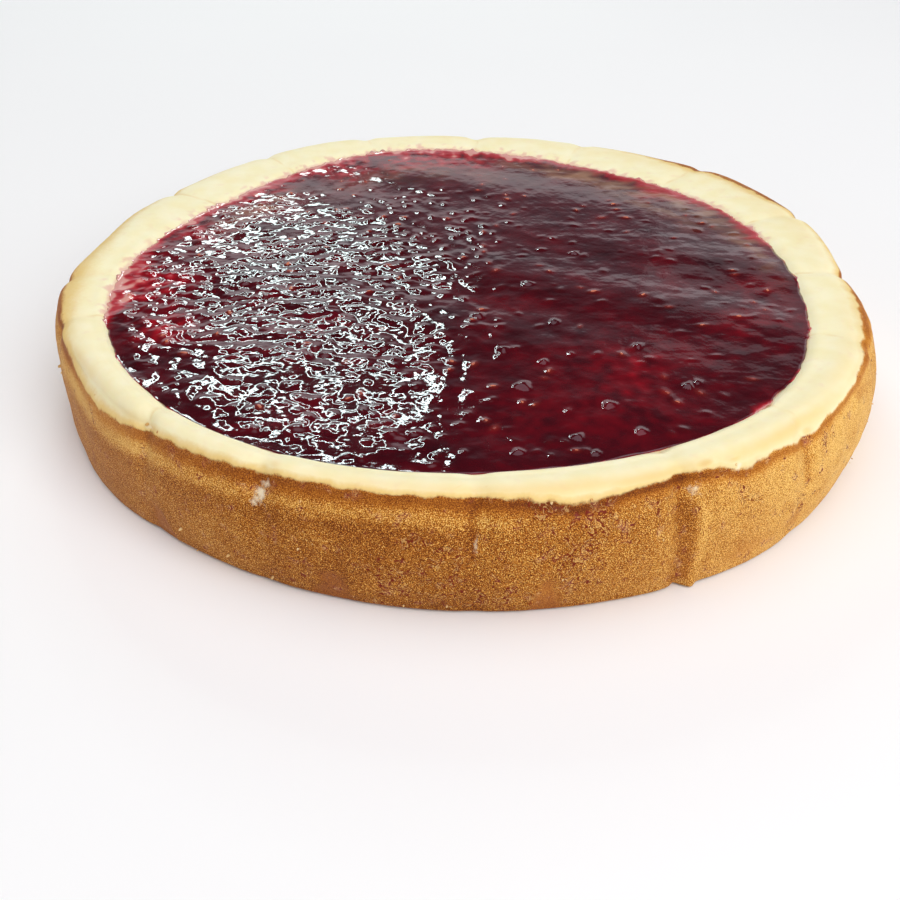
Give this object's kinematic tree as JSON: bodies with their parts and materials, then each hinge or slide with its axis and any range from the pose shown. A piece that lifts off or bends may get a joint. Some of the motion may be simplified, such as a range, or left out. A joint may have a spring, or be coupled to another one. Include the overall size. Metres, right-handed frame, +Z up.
{
  "type": "raspberry cheesecake",
  "caption": "Whole round baked cheesecake with a pale raised rim, a browned side with portion marks, and glossy raspberry jelly in its dished top.",
  "frame": {"origin": "centre of the flat underside, on the surface that the cake stands on", "axes": "+Z up, -Y towards the front portion mark, +X to the right seen from the front"},
  "size_m": [0.2534, 0.2536, 0.0365],
  "materials": {
    "baked_cheese": "baked cheesecake: satin cream rim, golden-brown finely pebbled side",
    "raspberry_jelly": "set raspberry jelly: deep red, wet gloss over slow waves",
    "raspberry_seed": "raspberry seed under a film of jelly"
  },
  "bodies": {
    "root": {"cheesecake": "baked_cheese", "raspberry_topping": "raspberry_jelly"}
  },
  "joints": []
}
